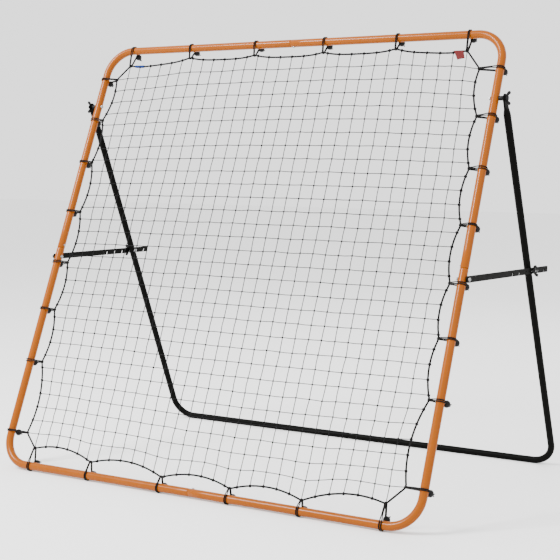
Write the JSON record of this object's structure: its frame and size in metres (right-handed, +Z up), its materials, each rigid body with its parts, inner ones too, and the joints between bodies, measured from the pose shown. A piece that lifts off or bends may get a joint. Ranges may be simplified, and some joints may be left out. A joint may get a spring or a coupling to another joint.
{
  "type": "pitch back rebounder",
  "caption": "Square tubular steel ball rebounder with an elastic-hung net on a leaning frame and a folding adjustable rear stand",
  "frame": {"origin": "on the floor, under the middle of the whole object's box", "axes": "+X to the right of someone facing the net, across the frame; +Y away from them, from the net towards the rear stand; +Z up"},
  "size_m": [1.602, 1.0322, 1.3973],
  "materials": {
    "orange_coat": "glossy orange powder coat",
    "black_coat": "satin black powder coat",
    "zinc": "bright zinc plate",
    "black_plastic": "matt moulded nylon",
    "elastic": "braided black elastic cord with moulded black balls",
    "net_twine": "knotted black twine",
    "red_tape": "plain woven red tape"
  },
  "bodies": {
    "frame": {"frame_top_left": "orange_coat", "frame_top_right": "orange_coat", "frame_bottom_left": "orange_coat", "frame_bottom_right": "orange_coat", "frame_screw_top": "zinc", "frame_screw_bottom": "zinc", "frame_screw_left": "zinc", "frame_screw_right": "zinc", "net": "net_twine", "net_tag": "red_tape", "toggle_top_1": "elastic", "toggle_top_2": "elastic", "toggle_top_3": "elastic", "toggle_top_4": "elastic", "toggle_top_5": "elastic", "toggle_top_6": "elastic", "toggle_bottom_1": "elastic", "toggle_bottom_2": "elastic", "toggle_bottom_3": "elastic", "toggle_bottom_4": "elastic", "toggle_bottom_5": "elastic", "toggle_bottom_6": "elastic", "toggle_left_1": "elastic", "toggle_left_2": "elastic", "toggle_left_3": "elastic", "toggle_left_4": "elastic", "toggle_left_5": "elastic", "toggle_left_6": "elastic", "toggle_left_7": "elastic", "toggle_left_8": "elastic", "toggle_right_1": "elastic", "toggle_right_2": "elastic", "toggle_right_3": "elastic", "toggle_right_4": "elastic", "toggle_right_5": "elastic", "toggle_right_6": "elastic", "toggle_right_7": "elastic", "toggle_right_8": "elastic", "pivot_bolt_left": "zinc", "pivot_spacer_left": "black_plastic", "brace_pivot_bolt_left": "zinc", "brace_pivot_nut_left": "zinc", "pivot_bolt_right": "zinc", "pivot_spacer_right": "black_plastic", "brace_pivot_bolt_right": "zinc", "brace_pivot_nut_right": "zinc"},
    "stand": {"stand_left": "black_coat", "stand_right": "black_coat", "stand_screw": "zinc", "adjuster_bolt_left": "zinc", "adjuster_bolt_right": "zinc"},
    "brace_left": {"brace_left": "black_coat"},
    "pivot_wing_nut_left": {"pivot_wing_nut_left": "black_plastic"},
    "adjuster_wing_nut_left": {"adjuster_wing_nut_left": "black_plastic"},
    "brace_right": {"brace_right": "black_coat"},
    "pivot_wing_nut_right": {"pivot_wing_nut_right": "black_plastic"},
    "adjuster_wing_nut_right": {"adjuster_wing_nut_right": "black_plastic"}
  },
  "joints": [
    {"name": "stand_fold", "type": "hinge", "parent": "stand", "child": "frame", "pos_m": [0, -0.02017, 1.18428], "axis": [1, 0, 0], "range_deg": [0, 44.6]},
    {"name": "brace_swing_left", "type": "hinge", "parent": "frame", "child": "brace_left", "pos_m": [-0.7535, -0.23155, 0.66949], "axis": [0.9949, 0, 0.1011], "range_deg": [0, 73]},
    {"name": "pivot_wing_nut_left_turn", "type": "hinge", "parent": "frame", "child": "pivot_wing_nut_left", "pos_m": [-0.7753, -0.02017, 1.18428], "axis": [1, 0, 0], "continuous": true},
    {"name": "adjuster_wing_nut_left_turn", "type": "hinge", "parent": "stand", "child": "adjuster_wing_nut_left", "pos_m": [-0.7895, 0.21036, 0.66955], "axis": [1, 0, 0], "continuous": true},
    {"name": "brace_swing_right", "type": "hinge", "parent": "frame", "child": "brace_right", "pos_m": [0.7535, -0.23155, 0.66949], "axis": [0.9949, 0, -0.1011], "range_deg": [0, 73]},
    {"name": "pivot_wing_nut_right_turn", "type": "hinge", "parent": "frame", "child": "pivot_wing_nut_right", "pos_m": [0.7753, -0.02017, 1.18428], "axis": [1, 0, 0], "continuous": true},
    {"name": "adjuster_wing_nut_right_turn", "type": "hinge", "parent": "stand", "child": "adjuster_wing_nut_right", "pos_m": [0.7895, 0.21036, 0.66955], "axis": [1, 0, 0], "continuous": true}
  ],
  "couplings": [
    {"joint": "brace_swing_left", "follows": "stand_fold", "ratio": 1.62},
    {"joint": "brace_swing_right", "follows": "stand_fold", "ratio": 1.62}
  ]
}
